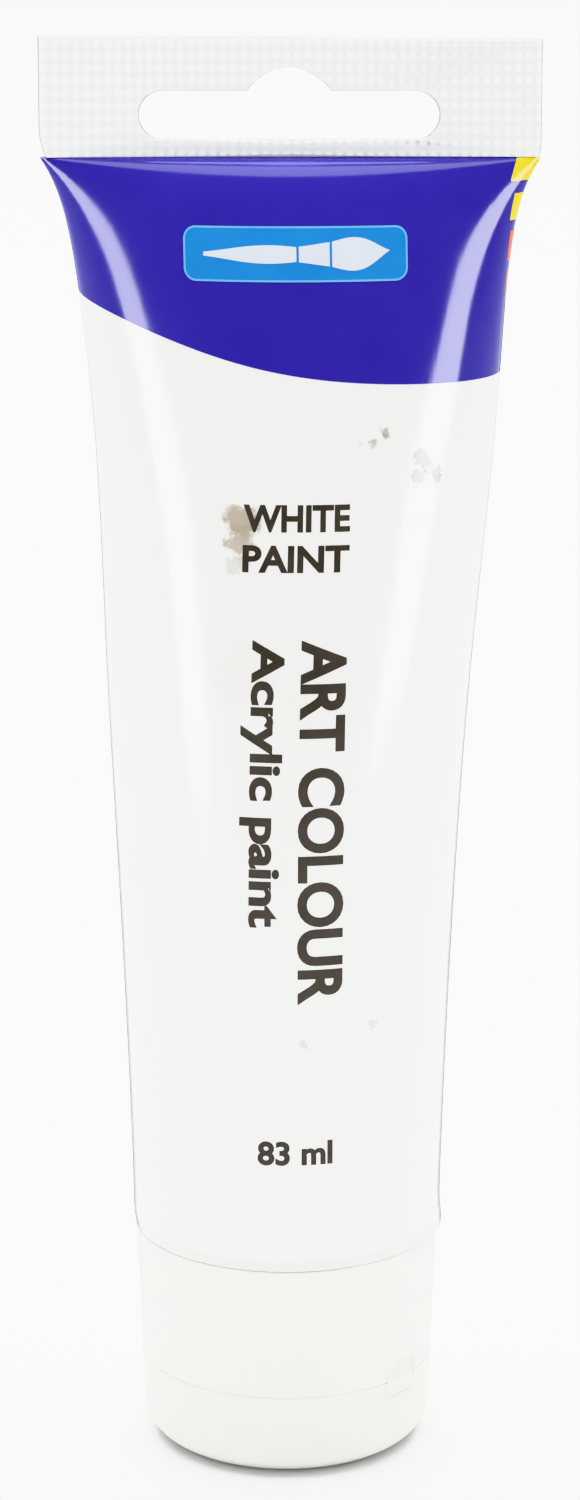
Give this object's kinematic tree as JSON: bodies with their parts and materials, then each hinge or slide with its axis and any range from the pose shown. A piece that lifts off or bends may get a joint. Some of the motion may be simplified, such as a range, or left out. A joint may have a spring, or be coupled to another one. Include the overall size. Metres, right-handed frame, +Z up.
{
  "type": "paint tube",
  "caption": "Soft plastic paint tube with a flattened, slotted hanging end, standing on a screw cap with a flip-open lid.",
  "frame": {"origin": "centre of the lid's flat face, which the tube stands on", "axes": "+Z up through the tube to its flat end, X across the flat end, front towards -Y"},
  "size_m": [0.0594, 0.038, 0.176],
  "materials": {
    "sleeve_film": "gloss",
    "sealed_film": "satin",
    "head_plastic": "matte",
    "foil": "satin",
    "paint": "gloss",
    "washer_foam": "matte",
    "cap_plastic": "satin"
  },
  "bodies": {
    "tube": {"tube_sleeve": "sleeve_film", "end_seal_strip": "sealed_film", "tube_head": "head_plastic", "foil_seal": "foil", "paint_fill": "paint"},
    "washer": {"seal_washer": "washer_foam"},
    "cap": {"cap_base": "cap_plastic", "hinge_web": "cap_plastic", "hinge_strap_left": "cap_plastic", "hinge_strap_right": "cap_plastic"},
    "lid": {"flip_lid": "cap_plastic"}
  },
  "joints": [
    {"name": "cap_travel", "type": "slide", "parent": "tube", "child": "washer", "axis": [0, 0, -1], "range_m": [0, 0.00901]},
    {"name": "cap_turn", "type": "hinge", "parent": "washer", "child": "cap", "pos_m": [0, 0, 0.0131], "axis": [0, 0, -1], "range_deg": [0, 1080]},
    {"name": "lid_flip", "type": "hinge", "parent": "cap", "child": "lid", "pos_m": [-0.01442, 0.01127, 0.01094], "axis": [0.6157, 0.788, 0], "range_deg": [0, 165], "deforming": ["hinge_web", "hinge_strap_left", "hinge_strap_right"]}
  ],
  "couplings": [
    {"joint": "cap_travel", "follows": "cap_turn", "m_per_rad": 0.00047746}
  ]
}
